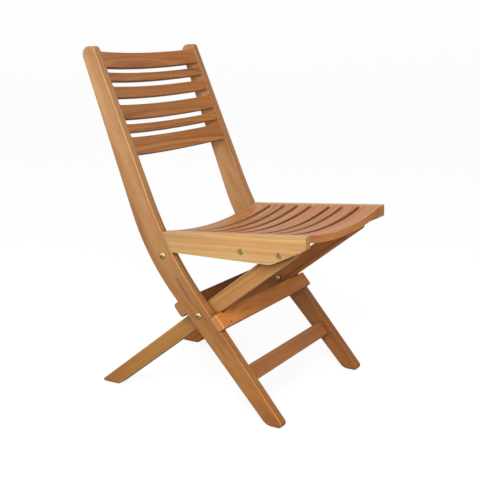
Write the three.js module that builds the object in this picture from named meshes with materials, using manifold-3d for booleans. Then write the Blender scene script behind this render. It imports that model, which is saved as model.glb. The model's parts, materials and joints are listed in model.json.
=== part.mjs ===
// Folding dining chair in oiled teak. Two bent stiles are the back posts and the front legs,
// a second pair of legs crosses them, and the slatted seat swings up between the two.
// Millimetres, +Z up, the front of the chair towards -Y, the origin on the floor under the
// middle of its box. Left and right are the sitter's, so the right side is at -X.
//
// Four bars fold on each side: the stile, the rear leg, the seat rail and a flat steel link.
// Across the chair they lie in three layers, given as distances from its middle plane:
// stiles and seat rails outside, then the thin layer of links and washers, then the rear legs.

import * as THREE from 'three';
import { mergeVertices } from 'three/addons/utils/BufferGeometryUtils.js';
import Module from 'manifold-3d';

// ---------------------------------------------------------------- driving dimensions

const GAP = 0.3;                        // air between pieces that touch
const HALF_WIDTH = 230;                 // to the outer face of the stiles and seat rails
const BOARD = 24;                       // thickness of stiles and seat rails
const LINK_LAYER = 4.5;                 // room for the steel links
const LEG_BOARD = 26;                   // thickness of the rear legs
const INNER = HALF_WIDTH - BOARD;       // inner face of the stiles and seat rails
const LEG_OUTER = INNER - LINK_LAYER;   // outer face of the rear legs
const LEG_INNER = LEG_OUTER - LEG_BOARD;

const TENON = { length: 14, thickness: 7, shoulder: 3.5, root: 6 };

// Side view, as [y, z].
const CROSS_PIVOT = [-25.2, 235.2];     // stile and rear leg
const LINK_PIVOT = [76.8, 370];         // stile and link

// The stile: a straight foot part, a long bend and a steeper back part, as [y, z, radius].
const STILE = [
  [-262.4, 0, 9],                       // toe
  [-211.6, 0, 30],                      // heel
  [124.4, 357.7, 580],                  // back of the bend
  [317.6, 868, 20],                     // top, rear
  [274.6, 868, 10],                     // top, front
  [65.2, 386.3, 870],                   // front of the bend
];
const FOOT_SLOPE = degrees(49.7);       // front edge of the stile below the bend
const BACK_SLOPE = degrees(66.5);       // and above it

// The back: slats from the top down, each with its height and the space below it.
const BACK_SLATS = [[40, 15], [21, 16], [28, 20], [36, 14.5], [20, 14], [44, 0]];
const BACK_SLAT = { below_top: 13.5, thickness: 15, dish: 17, inset: 1.5, fillet: 5.5 };

// Boards across the stiles, as distances along the lower front edge from the toe corner,
// and out from that edge to the board's front face.
const FRONT_CROSS_RAIL = { from: 270.8, to: 310.8, out: 15.5, thickness: 20, rounding: [4, 0] };
const REAR_CROSS_RAIL = { from: 353.6, to: 391.6, out: -52.3, thickness: 21.8, rounding: [0, 8] };
const STRETCHER = { from: 132.2, to: 172.4, out: -14, thickness: 16, rounding: [2, 2] };

// The seat, in its own frame: origin at the rear top corner of the rails, tilted up to the front.
const SEAT_ORIGIN = [78, 428.9];
const SEAT_TILT = degrees(4.6);
const SEAT_RAIL = [
  [0, 0, 2],
  [-386.1, 0, 3],                        // front, top
  [-384.1, -29.5, 3],                    // front, bottom
  [-293, -67, 50],                      // belly under the leg pivot
  [-24, -49, 4],                        // rear, bottom
];
const LEG_PIVOT = [-317, -44];          // seat rail and rear leg
const RAIL_LINK_PIVOT = [-217.5, -38.5];  // seat rail and link
const SEAT_SLATS = [57.5, 29.2, 26.3, 26.6, 42, 22.4, 33.2, 47.9];  // breadths from the rear
const SEAT_SLAT = { first: -2, gap: 14, thickness: 13, dish: 18, inset: 0.5, fillet: 4.5 };
const FRONT_SLAT = { ...SEAT_SLAT, thickness: 17 };

// The rear leg, along its own axis through the cross pivot. It tapers to the foot, and its top
// is round about the seat pivot so that it swings clear under the slats.
const LEG_SLOPE = degrees(141.5);
const REAR_LEG = {
  breadth_top: 41, breadth_foot: 36, offset: -0.3, end_radius: 25, toe: 4, heel: 22,
};

const LINK = { thickness: 3, breadth: 16, eye: 6.6, knee: [52, 396] };

// Fasteners, as diameters and lengths.
const BOLT_HEAD = { diameter: 15.5, height: 4, slot: 1.8, slot_turn: -35 };
const CROSS_BOLT = { shank: 8, nut: 15, nut_height: 8, into_nut: 5 };
const LINK_BOLT = { shank: 6, nut: 12, nut_height: 6, into_nut: 4 };
const NUT_END = 0.5;                    // from a bolt's end to the bottom of its blind nut
const BARREL_NUT = { flange: 15, proud: 1, barrel: 10, socket: 6, socket_depth: 4, short: 0.6 };
const BARREL_BORE = 14;                 // depth of its bore from the rail's inner face
const LEG_BOLT = { shank: 6, head: 14, head_height: 3.5, into_rail: 12 };
const LINK_SCREW = { head: 10, head_height: 1.4 };
const WASHER = { diameter: 22 };
const ROUND = 20;                       // sides of a turned piece
const ARC_COARSENESS = 0.9;             // larger for fewer chords in a rounded corner

const TEAK = { color: 0xb5793f, roughness: 0.55, metalness: 0 };
const TEAK_LIGHT = { color: 0xc8965a, roughness: 0.55, metalness: 0 };
const BRASS = { color: 0xc9b06a, roughness: 0.3, metalness: 1 };
const STEEL = { color: 0x9a9a96, roughness: 0.4, metalness: 1 };

// ---------------------------------------------------------------- plane geometry

function degrees(angle) {
  return angle * Math.PI / 180;
}

// The point at a distance along a slope and out to its left from a starting point.
function offsetFrom([y, z], slope, along, out) {
  return [
    y + along * Math.cos(slope) - out * Math.sin(slope),
    z + along * Math.sin(slope) + out * Math.cos(slope),
  ];
}

// Rounds each [y, z, radius] corner of a closed outline with an arc.
function roundedOutline(corners) {
  const point = ([y, z]) => new THREE.Vector2(y, z);
  return corners.flatMap((corner, i) => {
    const radius = corner[2] ?? 0;
    const here = point(corner);
    if (!radius) return [here];
    const back = point(corners.at(i - 1)).sub(here).normalize();
    const ahead = point(corners[(i + 1) % corners.length]).sub(here).normalize();
    const half = back.angleTo(ahead) / 2;
    const centre = back.clone().add(ahead).setLength(radius / Math.sin(half)).add(here);
    const start = here.clone().addScaledVector(back, radius / Math.tan(half)).sub(centre);
    const end = here.clone().addScaledVector(ahead, radius / Math.tan(half)).sub(centre);
    const turn = Math.PI - 2 * half;
    const steps = Math.max(3, Math.ceil(turn * Math.sqrt(radius) / ARC_COARSENESS));
    const sign = Math.sign(start.cross(end));
    return Array.from({ length: steps + 1 }, (_, k) =>
      start.clone().rotateAround(new THREE.Vector2(), sign * turn * k / steps).add(centre));
  });
}

const alongFoot = (along, out) => offsetFrom(STILE[0], FOOT_SLOPE, along, out);

// The section of a board that stands `out` from the stile's lower front edge, with the
// rounding of its front and rear corners.
function sectionOnFoot({ from, to, out, thickness, rounding = [0, 0] }, spare = 0) {
  const [front, rear] = rounding;
  return roundedOutline([
    [...alongFoot(from - spare, out + spare), front],
    [...alongFoot(from - spare, out - thickness - spare), rear],
    [...alongFoot(to + spare, out - thickness - spare), rear],
    [...alongFoot(to + spare, out + spare), front],
  ]);
}

// ---------------------------------------------------------------- solids

const wasm = await Module();
wasm.setup();

function solidOf(geometry) {
  const bare = new THREE.BufferGeometry();
  bare.setAttribute('position', geometry.getAttribute('position').clone());
  if (geometry.index) bare.setIndex(geometry.index.clone());
  const merged = mergeVertices(bare, 1e-4);
  return new wasm.Manifold(new wasm.Mesh({
    numProp: 3,
    vertProperties: new Float32Array(merged.getAttribute('position').array),
    triVerts: new Uint32Array(merged.index.array),
  }));
}

function geometryOf(solid) {
  const { vertProperties, triVerts } = solid.getMesh();
  const indexed = new THREE.BufferGeometry();
  indexed.setAttribute('position', new THREE.BufferAttribute(vertProperties, 3));
  indexed.setIndex(new THREE.BufferAttribute(triVerts, 1));
  const geometry = indexed.toNonIndexed();
  geometry.computeVertexNormals();
  return geometry;
}

const cut = (geometry, tools) => geometryOf(tools.reduce(
  (left, tool) => left.subtract(solidOf(tool)), solidOf(geometry)));

const join = (geometry, others) => geometryOf(others.reduce(
  (all, other) => all.add(solidOf(other)), solidOf(geometry)));

// A board with its outline in the side view, [y, z], between two places across the chair.
function acrossBoard(outline, x0, x1) {
  const points = outline.map((p) => (p.isVector2 ? p : new THREE.Vector2(...p)));
  const geometry = new THREE.ExtrudeGeometry(new THREE.Shape(points),
    { depth: Math.abs(x1 - x0), bevelEnabled: false });
  const toSideView = new THREE.Matrix4().makeBasis(
    new THREE.Vector3(0, 1, 0), new THREE.Vector3(0, 0, 1), new THREE.Vector3(1, 0, 0));
  return geometry.applyMatrix4(toSideView).translate(Math.min(x0, x1), 0, 0);
}

function box([x0, x1], [y0, y1], [z0, z1]) {
  return new THREE.BoxGeometry(x1 - x0, y1 - y0, z1 - z0)
    .translate((x0 + x1) / 2, (y0 + y1) / 2, (z0 + z1) / 2);
}

const ordered = (a, b) => (a < b ? [a, b] : [b, a]);

// A turned piece along X on one side of the chair, from a profile of
// [radius, distance from the chair's middle plane].
function turned(profile, side, sides = ROUND) {
  const points = profile.map(([r, a]) => new THREE.Vector2(r, a));
  return new THREE.LatheGeometry(points, sides).rotateZ(-side * Math.PI / 2);
}

// A straight rod across one side of the chair, used to drill holes.
const drill = (diameter, from, to, side) => turned(
  [[0, from], [diameter / 2, from], [diameter / 2, to], [0, to]], side);

const shiftTo = (geometry, [y, z]) => geometry.translate(0, y, z);

// ---------------------------------------------------------------- scene graph

const chair = new THREE.Group();
const backFrame = new THREE.Group();
const rearLegs = new THREE.Group();
const seat = new THREE.Group();
chair.add(backFrame, rearLegs, seat);
seat.position.set(0, ...SEAT_ORIGIN);
seat.rotation.x = -SEAT_TILT;
seat.updateMatrix();

// The slatted back has its own frame: origin at the stiles' top front corner, +Z up the
// stiles' front edge, -Y forwards.
const slattedBack = new THREE.Group();
slattedBack.position.set(0, STILE[4][0], STILE[4][1]);
slattedBack.rotation.x = BACK_SLOPE - Math.PI / 2;
slattedBack.updateMatrix();
backFrame.add(slattedBack);

// A point of the seat's own frame in the chair's frame.
const seatPoint = ([y, z]) => offsetFrom(SEAT_ORIGIN, -SEAT_TILT, y, z);

const SIDES = [['left', 1], ['right', -1]];

function add(group, name, geometry, finish) {
  const mesh = new THREE.Mesh(geometry, new THREE.MeshStandardMaterial(finish));
  mesh.name = name;
  group.add(mesh);
  return mesh;
}

// ---------------------------------------------------------------- dished slats

// The outline of a dished slat from above: x across, and its front face at depth 0 at the ends.
function dishedOutline(half, dish, thickness) {
  const radius = (half * half + dish * dish) / (2 * dish);
  const depth = (x) => Math.sqrt(radius * radius - x * x) - (radius - dish);
  const steps = 14;
  const xs = Array.from({ length: steps + 1 }, (_, i) => half * (2 * i / steps - 1));
  const front = xs.map((x) => new THREE.Vector2(x, depth(x)));
  const rear = xs.reverse().map((x) => new THREE.Vector2(x, depth(x) + thickness));
  return [...front, ...rear];
}

const SLAT_HALF = INNER - GAP;

// A slat whose front face looks along -Y and whose height runs from z0 to z1, with a tenon
// on each end. `spare` grows the tenons, for the mortises.
function slatTenon(side, face, z0, z1, spare = 0) {
  const { length, thickness, shoulder, root } = TENON;
  return box(
    ordered(side * (SLAT_HALF - root), side * (INNER + length + spare)),
    [face + shoulder - spare, face + shoulder + thickness + spare],
    [z0 + shoulder - spare, z1 - shoulder + spare]);
}

// The space beside a slat's edge at `z`, with a round corner at each end that leaves a fillet
// between the slat and the board it is tenoned into. `way` is 1 above the slat and -1 below.
function roundedSpace(z, way, fillet) {
  const end = SLAT_HALF;
  const far = z + way * 2 * fillet;
  const outline = roundedOutline([
    [-end, z, fillet], [end, z, fillet], [end + 1, far], [-end - 1, far],
  ]);
  const depth = 4 * BACK_SLAT.dish;
  return new THREE.ExtrudeGeometry(new THREE.Shape(outline), { depth, bevelEnabled: false })
    .rotateX(Math.PI / 2).translate(0, depth / 2, 0);
}

// A slat's board with its tenons. `filleted` says which edges, [lower, upper], get fillets.
function slat({ dish, thickness, fillet }, face, z0, z1, filleted) {
  const [low, high] = [z0 - (filleted[0] ? fillet : 0), z1 + (filleted[1] ? fillet : 0)];
  const body = new THREE.ExtrudeGeometry(
    new THREE.Shape(dishedOutline(SLAT_HALF, dish, thickness)),
    { depth: high - low, bevelEnabled: false }).translate(0, face, low);
  const spaces = [[z0, -1], [z1, 1]].filter((_, i) => filleted[i])
    .map(([z, way]) => roundedSpace(z, way, fillet));
  return join(cut(body, spaces), SIDES.map(([, side]) => slatTenon(side, face, z0, z1)));
}

// ---------------------------------------------------------------- back frame

const backSlats = [];
let slatTop = -BACK_SLAT.below_top;
BACK_SLATS.forEach(([height, space]) => {
  backSlats.push([slatTop - height, slatTop]);
  slatTop -= height + space;
});
backSlats.forEach(([z0, z1], i) => add(
  slattedBack, `back_slat_${i + 1}`,
  slat(BACK_SLAT, BACK_SLAT.inset, z0, z1, [true, true]), TEAK));

const crossRails = { front_cross_rail: FRONT_CROSS_RAIL, rear_cross_rail: REAR_CROSS_RAIL };
Object.entries(crossRails).forEach(([name, rail]) => add(
  backFrame, name, acrossBoard(sectionOnFoot(rail), -HALF_WIDTH, HALF_WIDTH), TEAK));

// The stretcher has a barefaced tenon on each end, thinner and narrower than the board.
function stretcherTenon(side, spare = 0) {
  const { from, to, out, thickness } = STRETCHER;
  const { length, shoulder, root } = TENON;
  const section = {
    from: from + shoulder, to: to - shoulder, out: out - shoulder, thickness: thickness - 2 * shoulder,
  };
  return acrossBoard(sectionOnFoot(section, spare),
    side * (SLAT_HALF - root), side * (INNER + length + spare));
}

add(backFrame, 'lower_stretcher', join(
  acrossBoard(sectionOnFoot(STRETCHER), -SLAT_HALF, SLAT_HALF),
  SIDES.map(([, side]) => stretcherTenon(side))), TEAK);

SIDES.forEach(([hand, side]) => {
  const mortises = backSlats.map(([z0, z1]) =>
    slatTenon(side, BACK_SLAT.inset, z0, z1, GAP).applyMatrix4(slattedBack.matrix));
  const housings = Object.values(crossRails).map((rail) =>
    acrossBoard(sectionOnFoot(rail, GAP), -HALF_WIDTH - 1, HALF_WIDTH + 1));
  const holes = [
    shiftTo(drill(CROSS_BOLT.shank + 2 * GAP, INNER - 1, HALF_WIDTH + 1, side), CROSS_PIVOT),
    shiftTo(drill(LINK_BOLT.shank + 2 * GAP, INNER - 1, HALF_WIDTH + 1, side), LINK_PIVOT),
  ];
  add(backFrame, `stile_${hand}`, cut(
    acrossBoard(roundedOutline(STILE), side * INNER, side * HALF_WIDTH),
    [...mortises, stretcherTenon(side, GAP), ...housings, ...holes]), TEAK_LIGHT);
});

// ---------------------------------------------------------------- rear legs

// A point of the rear leg, along it from the cross pivot and out to its upper side.
const alongLeg = (along, up) => offsetFrom(CROSS_PIVOT, LEG_SLOPE, along, -up);

// The leg's outline: tapered, cut level with the floor at the foot and round at the top.
function rearLegOutline() {
  const { breadth_top, breadth_foot, offset, end_radius, toe, heel } = REAR_LEG;
  const [pivotY, pivotZ] = seatPoint(LEG_PIVOT).map((v, i) => v - CROSS_PIVOT[i]);
  const above = pivotY * Math.cos(LEG_SLOPE) + pivotZ * Math.sin(LEG_SLOPE);
  const up = pivotY * Math.sin(LEG_SLOPE) - pivotZ * Math.cos(LEG_SLOPE);
  const below = CROSS_PIVOT[1] / Math.sin(LEG_SLOPE);
  const halfBreadth = (along) => (breadth_foot
    + (breadth_top - breadth_foot) * (along + below) / (above + below)) / 2;
  const edge = (along, sign) => offset + sign * halfBreadth(along);
  const onFloor = (sign) => {
    const along = edge(-below, sign) / Math.tan(LEG_SLOPE) - below;
    return alongLeg(along, edge(-below, sign));
  };
  const startAngle = Math.asin((edge(above, 1) - up) / end_radius);
  const endAngle = Math.asin((edge(above, -1) - up) / end_radius);
  const steps = 14;
  const top = Array.from({ length: steps + 1 }, (_, k) => {
    const angle = startAngle + (endAngle - startAngle) * k / steps;
    return [...alongLeg(above + end_radius * Math.cos(angle), up + end_radius * Math.sin(angle)), 0];
  });
  return roundedOutline([[...onFloor(1), toe], ...top, [...onFloor(-1), heel]]);
}

SIDES.forEach(([hand, side]) => {
  const holes = [
    shiftTo(drill(CROSS_BOLT.shank + 2 * GAP, LEG_INNER - 1, LEG_OUTER + 1, side), CROSS_PIVOT),
    shiftTo(drill(LEG_BOLT.shank + 2 * GAP, LEG_INNER - 1, LEG_OUTER + 1, side), seatPoint(LEG_PIVOT)),
  ];
  add(rearLegs, `rear_leg_${hand}`, cut(
    acrossBoard(rearLegOutline(), side * LEG_INNER, side * LEG_OUTER), holes), TEAK_LIGHT);
});

// ---------------------------------------------------------------- seat

const seatSlats = [];
let slatRear = SEAT_SLAT.first;
SEAT_SLATS.forEach((breadth) => {
  seatSlats.push([slatRear - breadth, slatRear]);
  slatRear -= breadth + SEAT_SLAT.gap;
});

// A seat slat is shaped like a back slat and laid with its face up.
const layFlat = (geometry) => geometry.rotateX(-Math.PI / 2);

seatSlats.forEach(([y0, y1], i) => {
  const isFront = i === seatSlats.length - 1;
  const isRear = i === 0;
  const section = isFront ? FRONT_SLAT : SEAT_SLAT;
  add(seat, `seat_slat_${i + 1}`,
    layFlat(slat(section, section.inset, y0, y1, [!isFront, !isRear])), TEAK);
});

SIDES.forEach(([hand, side]) => {
  const mortises = seatSlats.map(([y0, y1]) =>
    layFlat(slatTenon(side, SEAT_SLAT.inset, y0, y1, GAP)));
  const holes = [LEG_PIVOT, RAIL_LINK_PIVOT].map((pivot) => shiftTo(
    drill(BARREL_NUT.barrel + 2 * GAP, INNER - 1, HALF_WIDTH + 1, side), pivot));
  const board = acrossBoard(roundedOutline(SEAT_RAIL), side * INNER, side * HALF_WIDTH);
  add(seat, `seat_rail_${hand}`, cut(board, [...mortises, ...holes]), TEAK_LIGHT);
});

// ---------------------------------------------------------------- links

// A dog-leg bar: the knee keeps it behind the corner between the stile and the seat rail.
function linkOutline(from, knee, to, breadth) {
  const [a, b, c] = [from, knee, to].map((p) => new THREE.Vector2(...p));
  const r = breadth / 2;
  const ahead = b.clone().sub(a).angle();
  const onwards = c.clone().sub(b).angle();
  const [eyeSteps, kneeSteps] = [8, 3];
  const arc = (centre, start, turn, steps) => Array.from({ length: steps + 1 }, (_, k) =>
    new THREE.Vector2(r, 0).rotateAround(new THREE.Vector2(), start + turn * k / steps).add(centre));
  const bend = onwards - ahead;
  const quarter = Math.PI / 2;
  const inner = b.clone().add(new THREE.Vector2(r / Math.cos(bend / 2), 0)
    .rotateAround(new THREE.Vector2(), (ahead + onwards) / 2 + quarter));
  return [
    ...arc(a, ahead + quarter, 2 * quarter, eyeSteps),
    ...arc(b, ahead - quarter, bend, kneeSteps),
    ...arc(c, onwards - quarter, 2 * quarter, eyeSteps),
    inner,
  ];
}

const linkMiddle = INNER - LINK_LAYER / 2;
const linkFaces = [linkMiddle - LINK.thickness / 2, linkMiddle + LINK.thickness / 2];

SIDES.forEach(([hand, side]) => {
  const ends = [LINK_PIVOT, seatPoint(RAIL_LINK_PIVOT)];
  const bar = acrossBoard(linkOutline(ends[0], LINK.knee, ends[1], LINK.breadth),
    ...linkFaces.map((a) => side * a));
  const eyes = ends.map((end) => shiftTo(
    drill(LINK.eye, linkFaces[0] - 1, linkFaces[1] + 1, side), end));
  add(chair, `link_${hand}`, cut(bar, eyes), STEEL);
});

// ---------------------------------------------------------------- fasteners

// A domed head from its flat face at `face` to its crown, ending on the axis.
function domed({ diameter, height }, face) {
  const rim = diameter / 2;
  return [[rim, face], [rim, face + 0.25 * height], [0.8 * rim, face + 0.72 * height],
    [0.45 * rim, face + 0.95 * height], [0, face + height]];
}

// A bolt with a domed, slotted head on the outside of the chair.
function slottedBolt(shank, inner, side) {
  const { diameter, height, slot, slot_turn } = BOLT_HEAD;
  const head = HALF_WIDTH + GAP;
  const bolt = turned([[0, inner], [shank / 2, inner], [shank / 2, head],
    ...domed(BOLT_HEAD, head)], side);
  const crown = head + height;
  const groove = box(ordered(side * (crown - slot), side * (crown + 1)),
    [-diameter, diameter], [-slot / 2, slot / 2]).rotateX(degrees(slot_turn));
  return cut(bolt, [groove]);
}

// A domed cap nut whose flat face is at `face`, with its blind bore for a bolt end.
function capNut({ shank, nut, nut_height: height, into_nut }, face, side) {
  const rim = nut / 2;
  const bore = shank + 2 * GAP;
  const depth = into_nut + NUT_END;
  return turned([[0, face - depth], [bore / 2, face - depth], [bore / 2, face], [rim, face],
    [rim, face - 0.45 * height], [0.75 * rim, face - 0.85 * height], [0, face - height]]
    .reverse(), side);
}

// A washer or spacer between two distances from the middle plane.
const ring = (outer, bore, from, to, side) => turned([[bore / 2, from], [outer / 2, from],
  [outer / 2, to], [bore / 2, to], [bore / 2, from]], side);

const hexagon = (acrossFlats, from, to, side) => turned(
  [[0, from], [acrossFlats / Math.sqrt(3), from], [acrossFlats / Math.sqrt(3), to], [0, to]],
  side, 6);

// A barrel nut let into the seat rail from outside, with a hexagon socket in its flange and
// a bore from inside; it stops `short` of the rail's inner face.
function barrelNut(bore, side) {
  const { flange, proud, barrel, socket, socket_depth, short } = BARREL_NUT;
  const seatFace = HALF_WIDTH + GAP;
  const boreEnd = INNER + BARREL_BORE;
  const nut = turned([[0, boreEnd], [bore / 2, boreEnd], [bore / 2, INNER + short],
    [barrel / 2, INNER + short], [barrel / 2, seatFace], [flange / 2, seatFace],
    [flange / 2, seatFace + 0.5 * proud], [0.86 * flange / 2, seatFace + proud],
    [0, seatFace + proud]], side);
  const face = seatFace + proud;
  return cut(nut, [hexagon(socket, face - socket_depth, face + 1, side)]);
}

SIDES.forEach(([hand, side]) => {
  const nutFace = LEG_INNER - GAP;
  const place = (group, name, geometry, pivot, finish) =>
    add(group, `${name}_${hand}`, geometry, finish).position.set(0, ...pivot);

  // Cross pivot: bolt through stile, spacer and leg into a cap nut inside.
  place(backFrame, 'cross_bolt',
    slottedBolt(CROSS_BOLT.shank, nutFace - CROSS_BOLT.into_nut, side), CROSS_PIVOT, BRASS);
  place(backFrame, 'cross_nut', capNut(CROSS_BOLT, nutFace, side), CROSS_PIVOT, BRASS);
  place(backFrame, 'cross_spacer', ring(WASHER.diameter, CROSS_BOLT.shank + 2 * GAP,
    LEG_OUTER + GAP, INNER - GAP, side), CROSS_PIVOT, STEEL);

  // Link pivot on the stile: bolt through stile and link into a cap nut inside.
  const linkNutFace = linkFaces[0] - GAP;
  place(backFrame, 'link_bolt',
    slottedBolt(LINK_BOLT.shank, linkNutFace - LINK_BOLT.into_nut, side), LINK_PIVOT, BRASS);
  place(backFrame, 'link_nut', capNut(LINK_BOLT, linkNutFace, side), LINK_PIVOT, BRASS);

  // Link pivot on the seat rail, opened between the barrel nut and the link's screw.
  place(seat, 'rail_link_nut', barrelNut(LINK_BOLT.shank, side), RAIL_LINK_PIVOT, BRASS);
  const screwHead = linkFaces[0] - GAP;
  const screwTop = screwHead - LINK_SCREW.head_height;
  place(chair, 'link_screw', turned([[0, screwTop], [LINK_SCREW.head / 2, screwTop],
    [LINK_SCREW.head / 2, screwHead], [LINK.eye / 2 - GAP, screwHead],
    [LINK.eye / 2 - GAP, linkFaces[1]], [0, linkFaces[1]]],
  side), seatPoint(RAIL_LINK_PIVOT), BRASS);

  // Leg pivot on the seat rail: barrel nut outside, bolt from inside the leg, spacer between.
  place(seat, 'leg_pivot_nut', barrelNut(LEG_BOLT.shank + 2 * GAP, side), LEG_PIVOT, BRASS);
  place(seat, 'leg_pivot_bolt', turned([[0, nutFace - LEG_BOLT.head_height],
    [0.6 * LEG_BOLT.head / 2, nutFace - LEG_BOLT.head_height],
    [LEG_BOLT.head / 2, nutFace - 0.4 * LEG_BOLT.head_height], [LEG_BOLT.head / 2, nutFace],
    [LEG_BOLT.shank / 2, nutFace], [LEG_BOLT.shank / 2, INNER + LEG_BOLT.into_rail],
    [0, INNER + LEG_BOLT.into_rail]],
  side), LEG_PIVOT, BRASS);
  place(seat, 'leg_spacer', ring(WASHER.diameter, LEG_BOLT.shank + 2 * GAP,
    LEG_OUTER + GAP, INNER - GAP, side), LEG_PIVOT, STEEL);
});

export default chair;
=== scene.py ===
"""Looks of a folding dining chair in oiled teak: boards with grain along each of them, brass
fasteners and steel links, on a pale floor in soft studio light.

Metres, in the frame of the CAD model: +Z up, the chair faces -Y, the sitter's right is at -X.
"""

import json
import math

import bmesh
import bpy
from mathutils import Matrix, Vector
from mathutils.bvhtree import BVHTree


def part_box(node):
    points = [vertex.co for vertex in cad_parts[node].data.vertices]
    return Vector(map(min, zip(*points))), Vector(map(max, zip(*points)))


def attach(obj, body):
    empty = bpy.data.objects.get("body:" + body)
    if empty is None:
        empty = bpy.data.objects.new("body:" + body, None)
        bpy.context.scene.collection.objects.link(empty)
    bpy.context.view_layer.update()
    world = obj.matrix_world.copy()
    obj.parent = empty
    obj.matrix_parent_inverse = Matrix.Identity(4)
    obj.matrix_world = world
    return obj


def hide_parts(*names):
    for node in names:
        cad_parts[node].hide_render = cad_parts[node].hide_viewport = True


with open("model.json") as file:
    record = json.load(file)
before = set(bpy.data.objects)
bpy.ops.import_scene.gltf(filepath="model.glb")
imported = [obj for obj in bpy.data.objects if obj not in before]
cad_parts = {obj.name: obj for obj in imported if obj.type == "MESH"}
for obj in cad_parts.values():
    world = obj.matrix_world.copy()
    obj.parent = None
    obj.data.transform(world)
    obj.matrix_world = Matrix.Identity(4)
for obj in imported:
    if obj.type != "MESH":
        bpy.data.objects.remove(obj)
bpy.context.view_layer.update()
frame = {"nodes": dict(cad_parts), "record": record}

MM = 0.001
SIDES = {"left": 1, "right": -1}
BODY_OF = {node: body for body, nodes in frame["record"]["behaviour"]["bodies"].items()
           for node in nodes}
SLOT_OF = {part["node"]: part["material_slot"] for part in frame["record"]["subparts"]}

# Lines of the chair in the side view: a point [y, z] in metres and a slope in degrees.
FOOT_LINE = ((-0.2624, 0.0), 49.7)      # lower front edge of the stiles
BACK_LINE = ((0.2746, 0.868), 66.5)     # upper front edge of the stiles
LEG_LINE = ((-0.0252, 0.2352), 141.5)   # middle of the rear legs
SEAT_LINE = ((0.078, 0.4289), -4.6)     # top of the seat rails

WELD = 0.01 * MM
JOINT = 0.5 * MM                        # pieces closer than this are fitted to each other
# The most that free edges are rounded. A board with a short edge gets less all over: about 1 to
# 2.4 mm on the stiles and rear legs, 0.25 mm on the seat rails, and almost nothing on the slats.
EDGE_RADIUS = {"teak_board": 3.6 * MM, "teak_rail": 2.8 * MM, "teak_slat": 2.6 * MM}
EDGE_STEPS = 4
SHARP = math.radians(35)
FLAT = math.radians(0.2)


# ---------------------------------------------------------------- camera

# The camera looks along a line fixed by an azimuth and an elevation, seen from the origin.
CAMERA = {
    "azimuth": -58.996, "elevation": 10.590,
    "distance": 2.43767, "right": 0.01257, "up": -0.46103, "origin_y": 0.0064,
    "lens": 68.664, "sensor": 36.0, "shift": (0.01827, -0.07626),
}


def make_camera():
    azimuth = math.radians(CAMERA["azimuth"])
    elevation = math.radians(CAMERA["elevation"])
    back = Vector((math.sin(azimuth) * math.cos(elevation),
                   -math.cos(azimuth) * math.cos(elevation), math.sin(elevation)))
    right = (-back).cross(Vector((0, 0, 1))).normalized()
    up = back.cross(right)
    data = bpy.data.cameras.new("camera")
    data.lens = CAMERA["lens"]
    data.sensor_width = CAMERA["sensor"]
    data.shift_x, data.shift_y = CAMERA["shift"]
    camera = bpy.data.objects.new("camera", data)
    camera.location = (back * CAMERA["distance"] - right * CAMERA["right"]
                       - up * CAMERA["up"] + Vector((0, CAMERA["origin_y"], 0)))
    camera.rotation_euler = back.to_track_quat("Z", "Y").to_euler()
    bpy.context.scene.collection.objects.link(camera)
    bpy.context.scene.camera = camera


# ---------------------------------------------------------------- node helpers

class Shader:
    """A material under construction: each call adds a node and returns an output socket."""

    def __init__(self, name):
        self.material = bpy.data.materials.new(name)
        self.material.use_nodes = True
        self.tree = self.material.node_tree
        self.surface = self.tree.nodes["Principled BSDF"]

    def node(self, kind, inputs, **settings):
        made = self.tree.nodes.new(kind)
        for key, value in settings.items():
            setattr(made, key, value)
        for key, value in inputs.items():
            self.put(made.inputs[key], value)
        return made

    def put(self, socket, value):
        if isinstance(value, bpy.types.NodeSocket):
            self.tree.links.new(value, socket)
        else:
            socket.default_value = value

    def math(self, operation, first, second=0.0, third=0.0):
        return self.node("ShaderNodeMath", {0: first, 1: second, 2: third},
                         operation=operation).outputs[0]

    def vector(self, operation, first, second=(0, 0, 0)):
        made = self.node("ShaderNodeVectorMath", {0: first, 1: second}, operation=operation)
        return made.outputs["Value" if operation in ("DOT_PRODUCT", "LENGTH") else "Vector"]

    def combine(self, x, y, z):
        return self.node("ShaderNodeCombineXYZ", {0: x, 1: y, 2: z}).outputs[0]

    def noise(self, vector, detail=2.0, roughness=0.5):
        return self.node("ShaderNodeTexNoise", {"Vector": vector, "Scale": 1.0, "Detail": detail,
                                                "Roughness": roughness}).outputs[0]

    def streaks(self, place, detail, roughness):
        return self.node("ShaderNodeTexNoise", {"W": place, "Scale": 1.0, "Detail": detail,
                                                "Roughness": roughness},
                         noise_dimensions="1D").outputs[0]

    def remap(self, value, low, high, to_low=0.0, to_high=1.0):
        return self.node("ShaderNodeMapRange", {0: value, 1: low, 2: high, 3: to_low, 4: to_high},
                         interpolation_type="SMOOTHSTEP").outputs[0]

    def ramp(self, value, stops):
        made = self.node("ShaderNodeValToRGB", {0: value})
        elements = made.color_ramp.elements
        while len(elements) < len(stops):
            elements.new(0.5)
        for element, (place, color) in zip(elements, stops):
            element.position = place
            element.color = (*color, 1.0)
        return made.outputs[0]

    def mix(self, amount, first, second, blend="MIX"):
        made = self.node("ShaderNodeMix", {0: amount}, data_type="RGBA", blend_type=blend)
        self.put(made.inputs[6], first)
        self.put(made.inputs[7], second)
        return made.outputs[2]

    def bump(self, height, strength, distance):
        return self.node("ShaderNodeBump", {"Height": height, "Strength": strength,
                                            "Distance": distance}).outputs[0]


# ---------------------------------------------------------------- teak

# Colours of each slot's teak from its darkest grain lines to its palest wood, scene linear.
TEAK = {
    "teak_board": ((0.25, 0.100, 0.028), (0.45, 0.215, 0.072), (0.59, 0.325, 0.125)),
    "teak_rail": ((0.17, 0.050, 0.013), (0.36, 0.135, 0.034), (0.48, 0.215, 0.066)),
    "teak_slat": ((0.23, 0.075, 0.019), (0.42, 0.163, 0.042), (0.54, 0.250, 0.080)),
}
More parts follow.
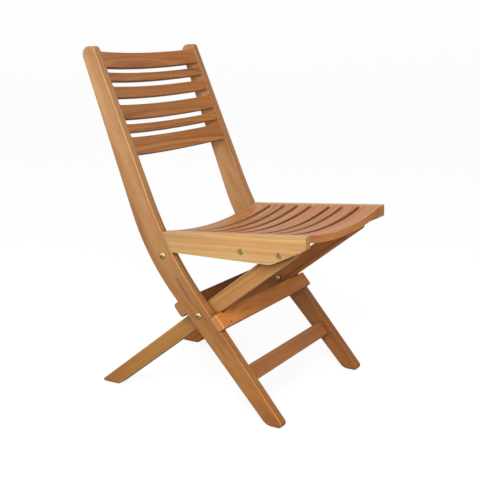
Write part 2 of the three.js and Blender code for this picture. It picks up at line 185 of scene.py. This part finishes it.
# How the wood is figured: growth rings to the metre, how far they show beside the slow figure,
# and how far the fine lines between them show.
FIGURE = {"teak_board": (115.0, 0.42, 0.16), "teak_rail": (150.0, 0.54, 0.20),
          "teak_slat": (115.0, 0.68, 0.18)}
STRAIGHT = (210.0, 0.60, 0.20)          # the same for a board sawn along the rings' radius
SOFT_LINES = (230.0, 0.54, 0.22)
# Painted shade: the legs' tone is deepened from this height down to the floor, for the light that
# falls off towards it.
STILE_FOOT_SHADE = (0.75, (0.69, 0.54, 0.31, 1))
REAR_FOOT_SHADE = (0.50, (0.84, 0.72, 0.46, 1))
SPECULAR = {"teak_board": 0.42, "teak_rail": 0.42, "teak_slat": 0.60}
END_DUST, END_GRAIN = 0.70, (0.41, 0.185, 0.066, 1)
KNOT_COLOR = (0.075, 0.024, 0.009, 1)
RED_TINT, RED_SHARE = (1.0, 0.80, 0.66, 1), 0.55
EDGE_PALENESS = 1.12
PORE_SHADE = 0.26
# How quickly each pattern changes along the grain, across the face and through the board.
SLOW_WANDER = (2.2, 9, 9)
QUICK_WANDER = (9, 60, 60)
PORES = (38, 1500, 1500)
FIGURING = (3.5, 26, 26)
REDNESS = (1.6, 14, 14)
FINE_LINES = 1150.0                     # fine lines to the metre
RIPPLE_SHARE = 0.15                     # the quick wander beside the slow one
TAPER = 0.012                           # how far the rings narrow along the tree
BEND_BLEND = 0.06                       # length over which the grain turns in a bent board
SAW_RIDGES, RIDGE_HEIGHT = 3600.0, 0.12
WOOD_BUMP = (0.55, 0.35 * MM)           # strength, and height from pores to rings
# Painted shade: gaps narrower than this are darkened as shade would darken them. It deepens the
# boards' tone and reddens the slats'.
CREVICE_SHADE_REACH = 16 * MM
CREVICE_SHADE_TINT = {"teak_board": (0.66, 0.42, 0.28, 1), "teak_rail": (0.72, 0.48, 0.32, 1),
         "teak_slat": (1.65, 0.93, 0.45, 1)}


def grain_space(shader, line, lengthwise, seed, bent_from=None):
    """The wood's own coordinates: along the grain, across the board's face, and through it."""
    (y0, z0), slope = line
    place = shader.node("ShaderNodeTexCoord", {}).outputs["Object"]

    def along_and_out(origin, degrees):
        turn = math.radians(degrees)
        shifted = shader.vector("SUBTRACT", place, (0.0, *origin))
        ahead = shader.vector("DOT_PRODUCT", shifted, (0, math.cos(turn), math.sin(turn)))
        out = shader.vector("DOT_PRODUCT", shifted, (0, -math.sin(turn), math.cos(turn)))
        return ahead, out

    ahead, out = along_and_out((y0, z0), slope)
    if bent_from:
        out = shader.math("SMOOTH_MIN", out, along_and_out(*bent_from)[1], BEND_BLEND)
    x = shader.vector("DOT_PRODUCT", place, (1, 0, 0))
    own = (x, ahead, out) if lengthwise == "x" else (ahead, out, x)
    shift = [3.1 * seed, 0.37 * seed, 0.73 * seed]
    return shader.vector("ADD", shader.combine(*own), shift), shift


def end_grain(shader, line, lengthwise):
    """1 on the faces cut across the grain."""
    normal = shader.node("ShaderNodeTexCoord", {}).outputs["Normal"]
    turn = math.radians(line[1])
    axis = (1, 0, 0) if lengthwise == "x" else (0, math.cos(turn), math.sin(turn))
    facing = shader.math("ABSOLUTE", shader.vector("DOT_PRODUCT", normal, axis))
    return shader.remap(facing, 0.62, 0.9)


def add_knots(shader, color, grain, shift, knots):
    """Dark knots and mineral streaks drawn out along the grain, each given by its place
    [along, across], half its breadth, its length to its breadth, and its strength."""
    for along, across, radius, stretch, strength in knots:
        centre = (shift[0] + along, shift[1] + across, 0)
        away = shader.vector("SUBTRACT", grain, centre)
        away = shader.vector("MULTIPLY", away, (1 / stretch, 1, 0))
        inside = shader.remap(shader.vector("LENGTH", away), 0.4 * radius, radius, strength, 0.0)
        color = shader.mix(inside, color, KNOT_COLOR)
    return color


def paint_crevice_and_foot_shade(shader, slot, color, foot_shade):
    """Paints shade into a board's crevices, and paints a leg's tone darker towards the floor."""
    open_sky = shader.node("ShaderNodeAmbientOcclusion", {"Distance": CREVICE_SHADE_REACH}).outputs["AO"]
    # Painted shade: where the ambient occlusion finds a crevice, the colour takes this tint.
    crevice_shaded = shader.mix(1.0, color, CREVICE_SHADE_TINT[slot], "MULTIPLY")
    color = shader.mix(shader.remap(open_sky, 0.25, 0.85), crevice_shaded, color)
    # Painted shade: a leg grows darker towards the floor, below the given height.
    if foot_shade:
        top, foot_shade_color = foot_shade
        place = shader.node("ShaderNodeTexCoord", {}).outputs["Object"]
        height = shader.vector("DOT_PRODUCT", place, (0, 0, 1))
        foot_shaded = shader.mix(1.0, color, foot_shade_color, "MULTIPLY")
        color = shader.mix(shader.remap(height, 0.0, top), foot_shaded, color)
    return color


def teak(name, slot, line, lengthwise, seed, tone, heart, sway=0.02, knots=(), bent_from=None,
         figured=None, foot_shade=None):
    """Oiled teak for one board. `heart` is where the tree's middle lies, across and through;
    `sway` is how far the rings wander along the board."""
    shader = Shader(name)
    grain, shift = grain_space(shader, line, lengthwise, seed, bent_from)
    ring_scale, ring_share, line_share = figured or FIGURE[slot]

    # Growth rings about the heart, wavy along the board, so that they arch on a flat face.
    slow = shader.noise(shader.vector("MULTIPLY", grain, SLOW_WANDER), 2.0)
    quick = shader.noise(shader.vector("MULTIPLY", grain, QUICK_WANDER), 3.0)
    off = shader.vector("SUBTRACT", grain, (0, shift[1] + heart[0], shift[2] + heart[1]))
    radius = shader.vector("LENGTH", shader.vector("MULTIPLY", off, (0, 1, 1)))
    wander = shader.math("MULTIPLY", shader.math("SUBTRACT", slow, 0.5), sway)
    ripple = shader.math("MULTIPLY", shader.math("SUBTRACT", quick, 0.5), RIPPLE_SHARE * sway)
    taper = shader.math("MULTIPLY", shader.vector("DOT_PRODUCT", grain, (1, 0, 0)), TAPER)
    depth = shader.math("ADD", shader.math("ADD", radius, wander),
                        shader.math("ADD", ripple, taper))
    rings = shader.streaks(shader.math("MULTIPLY", depth, ring_scale), 3.0, 0.5)
    fine = shader.streaks(shader.math("MULTIPLY", depth, FINE_LINES), 2.0, 0.6)

    # Pores: fine dark dashes along the grain. Figure: slow changes of tone and of redness.
    pores = shader.noise(shader.vector("MULTIPLY", grain, PORES), 2.0, 0.6)
    dashes = shader.remap(pores, 0.56, 0.70)
    figure = shader.noise(shader.vector("MULTIPLY", grain, FIGURING), 3.0)
    redness = shader.noise(shader.vector("MULTIPLY", grain, REDNESS), 1.0)

    dark, middle, pale = (tuple(t * c for t, c in zip(tone, color)) for color in TEAK[slot])
    blend = shader.math("ADD", shader.math("MULTIPLY", rings, ring_share),
                        shader.math("MULTIPLY", figure, 1.0 - ring_share))
    color = shader.ramp(blend, ((0.24, dark), (0.43, middle), (0.66, pale)))
    color = shader.mix(shader.remap(fine, 0.30, 0.62, line_share, 0.0), color, (*dark, 1))
    reddened = shader.mix(1.0, color, RED_TINT, "MULTIPLY")
    color = shader.mix(shader.remap(redness, 0.48, 0.72, 0.0, RED_SHARE), color, reddened)
    color = shader.mix(shader.math("MULTIPLY", dashes, PORE_SHADE), color, (*dark, 1))
    color = add_knots(shader, color, grain, shift, knots)

    # Cut ends are dull and dusty; handled edges are paler.
    end = end_grain(shader, line, lengthwise)
    dusty = shader.mix(END_DUST, color, END_GRAIN)
    color = shader.mix(end, color, dusty)
    edge = shader.node("ShaderNodeAttribute", {}, attribute_name="edge").outputs["Fac"]
    worn = shader.math("MULTIPLY", edge, shader.remap(quick, 0.35, 0.6, 0.15, 0.55))
    color = shader.mix(worn, color, (*(min(1.0, EDGE_PALENESS * c) for c in pale), 1))
    # Painted shade in the crevices, and on the legs towards the floor.
    color = paint_crevice_and_foot_shade(shader, slot, color, foot_shade)

    rough = shader.math("ADD", shader.remap(rings, 0.3, 0.7, 0.52, 0.44),
                        shader.math("MULTIPLY", dashes, 0.2))
    rough = shader.math("ADD", rough, shader.math("MULTIPLY", end, 0.18))
    height = shader.math("SUBTRACT", shader.math("MULTIPLY", rings, 0.5),
                         shader.math("MULTIPLY", dashes, 0.5))
    height = shader.math("ADD", height, shader.math("MULTIPLY", fine, 0.25))
    if slot == "teak_slat":
        across = shader.vector("DOT_PRODUCT", grain, (0, 1, 0))
        ridges = shader.math("SINE", shader.math("MULTIPLY", across, SAW_RIDGES))
        height = shader.math("ADD", height, shader.math("MULTIPLY", ridges, RIDGE_HEIGHT))
    surface = shader.surface
    shader.put(surface.inputs["Base Color"], color)
    shader.put(surface.inputs["Roughness"], rough)
    surface.inputs["Specular IOR Level"].default_value = SPECULAR[slot]
    shader.put(surface.inputs["Normal"], shader.bump(height, *WOOD_BUMP))
    return shader.material


# ---------------------------------------------------------------- metal

FILM = (260, 260, 260)                  # how quickly the tarnish changes along X, Y and Z
SCRATCHES = (900, 5200, 700)
# Painted shade: sockets, slots and crevices within this reach are darkened to this colour.
METAL_SHADE_DEPTH, METAL_SHADE_COLOR = 3.5 * MM, (0.035, 0.04, 0.035, 1)
METAL_BUMP = (0.25, 0.05 * MM)


def metal(name, bright, dull, roughness, speck):
    """Bare metal with a thin uneven film of tarnish, fine scratches and painted shade in its
    crevices.
    """
    shader = Shader(name)
    place = shader.node("ShaderNodeTexCoord", {}).outputs["Object"]
    film = shader.noise(shader.vector("MULTIPLY", place, FILM), 4.0, 0.6)
    scratches = shader.noise(shader.vector("MULTIPLY", place, SCRATCHES), 2.0, 0.5)
    stain = shader.remap(film, 0.42, 0.72)
    color = shader.mix(stain, (*bright, 1), (*dull, 1))
    # Painted shade in the sockets, slots and crevices.
    open_sky = shader.node("ShaderNodeAmbientOcclusion", {"Distance": METAL_SHADE_DEPTH}).outputs["AO"]
    color = shader.mix(shader.remap(open_sky, 0.25, 0.8), METAL_SHADE_COLOR, color)
    rough = shader.math("ADD", shader.math("MULTIPLY", stain, speck),
                        shader.remap(scratches, 0.3, 0.7, roughness, roughness + 0.12))
    surface = shader.surface
    surface.inputs["Metallic"].default_value = 1.0
    shader.put(surface.inputs["Base Color"], color)
    shader.put(surface.inputs["Roughness"], rough)
    shader.put(surface.inputs["Normal"], shader.bump(scratches, *METAL_BUMP))
    return shader.material


# ---------------------------------------------------------------- boards

def triangles_of(nodes):
    points, faces = [], []
    for node in nodes:
        data = frame["nodes"][node].data
        first = len(points)
        points += [vertex.co.copy() for vertex in data.vertices]
        faces += [[first + i for i in face.vertices] for face in data.polygons]
    return points, faces


def add_piece(name, mesh, node, material):
    """Puts a mesh in the scene in place of a CAD node."""
    mesh.materials.clear()
    mesh.materials.append(material)
    piece = bpy.data.objects.new(name, mesh)
    bpy.context.scene.collection.objects.link(piece)
    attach(piece, BODY_OF[node])
    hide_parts(node)
    return piece


def smooth(mesh):
    mesh.shade_smooth()
    mesh.set_sharp_from_angle(angle=SHARP)


def rounded_mesh(node, radius, steps=EDGE_STEPS):
    """The node's solid with its free edges rounded by up to `radius`, or by less all over it
    where its shortest edge leaves no room. Where it is fitted to a neighbour, its edges stay
    crisp."""
    others = BVHTree.FromPolygons(*triangles_of([n for n in frame["nodes"] if n != node]))
    shape = bmesh.new()
    shape.from_mesh(frame["nodes"][node].data)
    bmesh.ops.remove_doubles(shape, verts=shape.verts, dist=WELD)
    bmesh.ops.dissolve_limit(shape, angle_limit=FLAT, verts=shape.verts, edges=shape.edges)

    def free(edge):
        middle = (edge.verts[0].co + edge.verts[1].co) / 2
        return others.find_nearest(middle, JOINT)[0] is None

    edges = [edge for edge in shape.edges
             if len(edge.link_faces) == 2 and edge.calc_face_angle() > SHARP and free(edge)]
    made = bmesh.ops.bevel(shape, geom=edges, offset=radius, segments=steps, profile=0.5,
                           affect="EDGES", clamp_overlap=True, miter_outer="ARC")
    rounding = set(made["faces"])
    layer = shape.verts.layers.float.new("edge")
    for vertex in shape.verts:
        vertex[layer] = float(bool(vertex.link_faces) and rounding.issuperset(vertex.link_faces))
    mesh = bpy.data.meshes.new(node)
    shape.to_mesh(mesh)
    shape.free()
    smooth(mesh)
    return mesh


def make_board(node, material):
    mesh = rounded_mesh(node, EDGE_RADIUS[SLOT_OF[node]])
    piece = add_piece(f"{node}_wood", mesh, node, material)
    piece.modifiers.new("normals", "WEIGHTED_NORMAL").keep_sharp = True


# Tones of the boards against their slot's colours.
TONE = {
    "stile": (0.88, 0.88, 0.99), "rear_leg_right": (0.86, 0.86, 0.84),
    # Painted shade: the left rear leg's redder tone stands in for the redder shade under the seat.
    "rear_leg_left": (0.93, 0.72, 0.60), "seat_rail": (1.02, 1.18, 1.28),
    # Painted shade: the rear cross rail's dark tone stands in for the shade its inner face lies in
    # under the seat.
    "front_cross_rail": (1.36, 1.23, 1.0), "rear_cross_rail": (0.35, 0.28, 0.22),
    "lower_stretcher": (0.84, 0.84, 0.92), "back_slat": (0.82, 0.75, 0.66),
    "seat_slat": (0.94, 0.84, 0.68), "front_slat": (0.98, 0.83, 0.64),
}

# Marks of add_knots: on the right stile, and near an end of the front cross rail.
STREAKS = ((-0.634, -0.024, 0.0065, 9.0, 0.42), (-0.70, -0.017, 0.0035, 12.0, 0.30),
           (-0.79, -0.028, 0.0035, 12.0, 0.30))
KNOTS = ((-0.196, 0.307, 0.0035, 2.2, 0.85), (-0.150, 0.306, 0.0022, 14.0, 0.45),
         (-0.19, 0.279, 0.0025, 2.2, 0.85), (-0.10, 0.290, 0.0030, 16.0, 0.35))


BACK_SLATS, SEAT_SLATS = 6, 8


def shade(kind, amount):
    return tuple(amount * c for c in TONE[kind])


def make_boards():
    for hand, side in SIDES.items():
        seed = 1.0 if side > 0 else 2.0
        make_board(f"stile_{hand}", teak(
            f"teak_stile_{hand}", "teak_board", BACK_LINE, "slope", seed, TONE["stile"],
            (-0.06, 0.02), 0.04, STREAKS if side < 0 else (), bent_from=FOOT_LINE,
            foot_shade=STILE_FOOT_SHADE))
        make_board(f"rear_leg_{hand}", teak(
            f"teak_rear_leg_{hand}", "teak_board", LEG_LINE, "slope", seed + 2,
            TONE[f"rear_leg_{hand}"], (0.12, 0.0), 0.012, figured=SOFT_LINES, foot_shade=REAR_FOOT_SHADE))
        make_board(f"seat_rail_{hand}", teak(
            f"teak_seat_rail_{hand}", "teak_board", SEAT_LINE, "slope", seed + 4,
            TONE["seat_rail"], (0.14, 0.0), 0.009, figured=STRAIGHT))
    for node, seed, heart, sway, marks in (
            ("front_cross_rail", 7.0, (0.3, -0.03), 0.03, KNOTS),
            ("rear_cross_rail", 8.0, (0.3, -0.03), 0.015, ()),
            ("lower_stretcher", 9.0, (0.1, -0.05), 0.012, ())):
        make_board(node, teak(f"teak_{node}", "teak_rail", FOOT_LINE, "x", seed, TONE[node],
                              heart, sway, marks))
    for i in range(1, BACK_SLATS + 1):
        tone = shade("back_slat", 1.0 + 0.03 * math.sin(2.4 * i))
        make_board(f"back_slat_{i}", teak(f"teak_back_slat_{i}", "teak_slat", BACK_LINE, "x",
                                          10.0 + i, tone, (-0.05 * i, -0.03), 0.035))
    for i in range(1, SEAT_SLATS + 1):
        tone = shade("front_slat" if i == SEAT_SLATS else "seat_slat", 1.0 + 0.03 * math.sin(1.7 * i))
        make_board(f"seat_slat_{i}", teak(f"teak_seat_slat_{i}", "teak_slat", SEAT_LINE, "x",
                                          20.0 + i, tone, (-0.03 * i, -0.04)))


# ---------------------------------------------------------------- fasteners

ROUND = 64                              # sides of a turned shape
DOME_STEPS = 10


def lathe(profile, side, centre):
    """A closed turned shape about an axis along X, from [radius, distance from the middle
    plane] pairs that start and end on the axis."""
    shape = bmesh.new()
    loops = []
    for radius, x in profile:
        if radius == 0:
            loops.append([shape.verts.new((side * x, *centre))])
            continue
        turns = [2 * math.pi * i / ROUND for i in range(ROUND)]
        loops.append([shape.verts.new((side * x, centre[0] + radius * math.cos(t),
                                       centre[1] + radius * math.sin(t))) for t in turns])
    for near, far in zip(loops, loops[1:]):
        for i in range(ROUND):
            corners = [near[i % len(near)], near[(i + 1) % len(near)],
                       far[(i + 1) % len(far)], far[i % len(far)]]
            shape.faces.new(list(dict.fromkeys(corners)))
    bmesh.ops.recalc_face_normals(shape, faces=shape.faces)
    mesh = bpy.data.meshes.new("turned")
    shape.to_mesh(mesh)
    shape.free()
    return mesh


def cut_away(mesh, tool):
    """The mesh less the tool."""
    objects = [bpy.data.objects.new("cutting", m) for m in (mesh, tool)]
    for made in objects:
        bpy.context.scene.collection.objects.link(made)
    cutter = objects[0].modifiers.new("cut", "BOOLEAN")
    cutter.operation = "DIFFERENCE"
    cutter.solver = "EXACT"
    cutter.object = objects[1]
    ready = objects[0].evaluated_get(bpy.context.evaluated_depsgraph_get())
    result = bpy.data.meshes.new_from_object(ready)
    for made in objects:
        bpy.data.objects.remove(made)
    return result


def prism(outline, x0, x1):
    """A solid with an outline of [y, z] between two places across the chair."""
    shape = bmesh.new()
    ends = [[shape.verts.new((x, y, z)) for y, z in outline] for x in (x0, x1)]
    shape.faces.new(ends[0])
    shape.faces.new(ends[1])
    count = len(outline)
    for i in range(count):
        after = (i + 1) % count
        shape.faces.new((ends[0][i], ends[0][after], ends[1][after], ends[1][i]))
    bmesh.ops.recalc_face_normals(shape, faces=shape.faces)
    mesh = bpy.data.meshes.new("prism")
    shape.to_mesh(mesh)
    shape.free()
    return mesh


def turned_outline(corners, centre, degrees):
    """Corners [y, z] turned about the axis and moved to a centre."""
    c, s = math.cos(math.radians(degrees)), math.sin(math.radians(degrees))
    return [(centre[0] + y * c - z * s, centre[1] + y * s + z * c) for y, z in corners]


def arc_profile(radius, rim_x, crown_x, lip):
    """A dome from its rim to its crown over a short upright lip."""
    rise = crown_x - rim_x - lip
    return [(radius, rim_x)] + [
        (radius * math.cos(0.5 * math.pi * i / DOME_STEPS) if i < DOME_STEPS else 0,
         rim_x + lip + rise * math.sin(0.5 * math.pi * i / DOME_STEPS))
        for i in range(DOME_STEPS + 1)]


def axis_of(node):
    """A fastener's centre [y, z], its nearer and farther end from the middle plane, and its
    radius."""
    low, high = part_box(node)
    middle = (low + high) / 2
    ends = sorted((abs(low.x), abs(high.x)))
    return (middle.y, middle.z), ends[0], ends[1], (high.z - low.z) / 2


SHANK = {"cross_bolt": 4 * MM, "link_bolt": 3 * MM}
HEAD = {"height": 4 * MM, "lip": 0.7 * MM, "slot": 1.7 * MM, "slot_depth": 1.7 * MM,
        "slot_turn": 35, "slot_reach": 1.2}


def make_bolt(kind, hand, side, material):
    node = f"{kind}_{hand}"
    centre, inner, crown, radius = axis_of(node)
    rim = crown - HEAD["height"]
    mesh = lathe([(0, inner), (SHANK[kind], inner), (SHANK[kind], rim),
                  *arc_profile(radius, rim, crown, HEAD["lip"])], side, centre)
    half, deep = HEAD["slot"] / 2, crown - HEAD["slot_depth"]
    reach = HEAD["slot_reach"] * radius
    corners = [(-reach, -half), (reach, -half), (reach, half), (-reach, half)]
    outline = turned_outline(corners, centre, -HEAD["slot_turn"])
    mesh = cut_away(mesh, prism(outline, side * deep, side * (crown + HEAD["height"])))
    smooth(mesh)
    add_piece(f"{node}_brass", mesh, node, material)


# The barrel nuts are solid behind their sockets, so the hidden screw or bolt ends inside them.
BARREL = {"radius": 5 * MM, "proud": 1 * MM, "socket": 6 * MM, "depth": 4 * MM,
          "softening": 0.35 * MM, "socket_turn": 12}


def make_barrel_nut(kind, hand, side, material):
    node = f"{kind}_{hand}"
    centre, inner, face, flange = axis_of(node)
    seat = face - BARREL["proud"]
    soft = BARREL["softening"]
    mesh = lathe([(0, inner), (BARREL["radius"], inner), (BARREL["radius"], seat),
                  (flange, seat), (flange, face - 2 * soft), (flange - 0.4 * soft, face - soft),
                  (flange - 1.4 * soft, face), (0, face)], side, centre)
    corner = BARREL["socket"] / math.sqrt(3)
    corners = [(corner * math.cos(math.pi * i / 3), corner * math.sin(math.pi * i / 3))
               for i in range(6)]
    outline = turned_outline(corners, centre, BARREL["socket_turn"])
    mesh = cut_away(mesh, prism(outline, side * (face - BARREL["depth"]),
                                side * (face + BARREL["proud"])))
    smooth(mesh)
    add_piece(f"{node}_brass", mesh, node, material)


CAP = {"skirt": 0.4, "play": 0.3 * MM, "roof": 0.3}   # skirt and roof are shares of its length


def make_cap_nut(kind, hand, side, material):
    node = f"{kind}_{hand}"
    centre, crown, mouth, radius = axis_of(node)
    skirt = (mouth - crown) * CAP["skirt"]
    bore = SHANK[kind.replace("nut", "bolt")] + CAP["play"]
    dome = [(r, -x) for r, x in arc_profile(radius, -mouth, -crown, skirt)]
    deep = crown + CAP["roof"] * (mouth - crown)
    mesh = lathe([(0, deep), (bore, deep), (bore, mouth), *dome], side, centre)
    smooth(mesh)
    add_piece(f"{node}_brass", mesh, node, material)


# Bright and tarnished colour, roughness, and how much rougher the tarnish is.
BRASS = ((0.80, 0.66, 0.34), (0.46, 0.36, 0.17), 0.22, 0.22)
STEEL = ((0.56, 0.56, 0.55), (0.34, 0.33, 0.31), 0.34, 0.2)
LINK_EDGE = (0.5 * MM, 2)               # radius and steps of a link's rounding


def make_fasteners():
    brass = metal("brass", *BRASS)
    steel = metal("steel", *STEEL)
    for hand, side in SIDES.items():
        for kind in ("cross_bolt", "link_bolt"):
            make_bolt(kind, hand, side, brass)
        for kind in ("rail_link_nut", "leg_pivot_nut"):
            make_barrel_nut(kind, hand, side, brass)
        for kind in ("cross_nut", "link_nut"):
            make_cap_nut(kind, hand, side, brass)
        link = rounded_mesh(f"link_{hand}", *LINK_EDGE)
        add_piece(f"link_{hand}_steel", link, f"link_{hand}", steel)
        for kind, finish in (("link_screw", brass), ("leg_pivot_bolt", brass),
                             ("cross_spacer", steel), ("leg_spacer", steel)):
            materials = frame["nodes"][f"{kind}_{hand}"].data.materials
            materials.clear()
            materials.append(finish)


# ---------------------------------------------------------------- floor and light

FLOOR_RADIUS = 60.0
FLOOR_SIDES = 48
FLOOR_GREY = 0.20
FLOOR_GLOW = 0.83                       # what the floor adds, so that it fades into the backdrop
FLOOR_ROUGHNESS, FLOOR_SPECULAR = 0.9, 0.1


def make_floor():
    """A pale floor that runs out into the white backdrop."""
    shape = bmesh.new()
    bmesh.ops.create_circle(shape, cap_ends=True, segments=FLOOR_SIDES, radius=FLOOR_RADIUS)
    mesh = bpy.data.meshes.new("floor")
    shape.to_mesh(mesh)
    shape.free()
    shader = Shader("floor")
    surface = shader.surface
    surface.inputs["Base Color"].default_value = (FLOOR_GREY, FLOOR_GREY, FLOOR_GREY, 1)
    surface.inputs["Roughness"].default_value = FLOOR_ROUGHNESS
    surface.inputs["Specular IOR Level"].default_value = FLOOR_SPECULAR
    surface.inputs["Emission Color"].default_value = (1, 1, 1, 1)
    seen = shader.node("ShaderNodeLightPath", {}).outputs["Is Camera Ray"]
    shader.put(surface.inputs["Emission Strength"], shader.math("MULTIPLY", seen, FLOOR_GLOW))
    mesh.materials.append(shader.material)
    floor = bpy.data.objects.new("floor", mesh)
    bpy.context.scene.collection.objects.link(floor)


# Softboxes: where each stands about the middle of the chair, its size in metres, its watts.
MIDDLE = Vector((0, 0, 0.45))
SOFTBOXES = {
    "key": ((-2.30, -1.00, 1.40), 1.7, 88),
    "front": ((-0.7, -2.3, -0.1), 1.4, 30),
}
# The backdrop is bright behind the chair and dim in front of it.
BACKDROP = {"towards": (0.10, 0.95, 0.28), "from": (-0.35, 0.10), "to": (0.50, 0.95), "seen": 0.983}


def make_light():
    for name, (place, size, watts) in SOFTBOXES.items():
        data = bpy.data.lights.new(name, "AREA")
        data.shape = "SQUARE"
        data.size = size
        data.energy = watts
        light = bpy.data.objects.new(name, data)
        light.location = MIDDLE + Vector(place)
        light.rotation_euler = Vector(place).to_track_quat("Z", "Y").to_euler()
        bpy.context.scene.collection.objects.link(light)


def make_backdrop():
    world = bpy.data.worlds.new("studio")
    world.use_nodes = True
    tree = world.node_tree
    background = tree.nodes["Background"]
    place = tree.nodes.new("ShaderNodeTexCoord")
    facing = tree.nodes.new("ShaderNodeVectorMath")
    facing.operation = "DOT_PRODUCT"
    facing.inputs[1].default_value = BACKDROP["towards"]
    fade = tree.nodes.new("ShaderNodeMapRange")
    fade.interpolation_type = "SMOOTHSTEP"
    (fade.inputs[1].default_value, fade.inputs[3].default_value) = BACKDROP["from"]
    (fade.inputs[2].default_value, fade.inputs[4].default_value) = BACKDROP["to"]
    ray = tree.nodes.new("ShaderNodeLightPath")
    choose = tree.nodes.new("ShaderNodeMix")
    choose.inputs[3].default_value = BACKDROP["seen"]
    tree.links.new(place.outputs["Generated"], facing.inputs[0])
    tree.links.new(facing.outputs["Value"], fade.inputs[0])
    tree.links.new(ray.outputs["Is Camera Ray"], choose.inputs[0])
    tree.links.new(fade.outputs[0], choose.inputs[2])
    tree.links.new(choose.outputs[0], background.inputs["Strength"])
    bpy.context.scene.world = world
    background.inputs["Color"].default_value = (1, 1, 1, 1)
    bpy.context.scene.view_settings.view_transform = "Standard"


make_camera()
make_boards()
make_fasteners()
make_floor()
make_light()
make_backdrop()
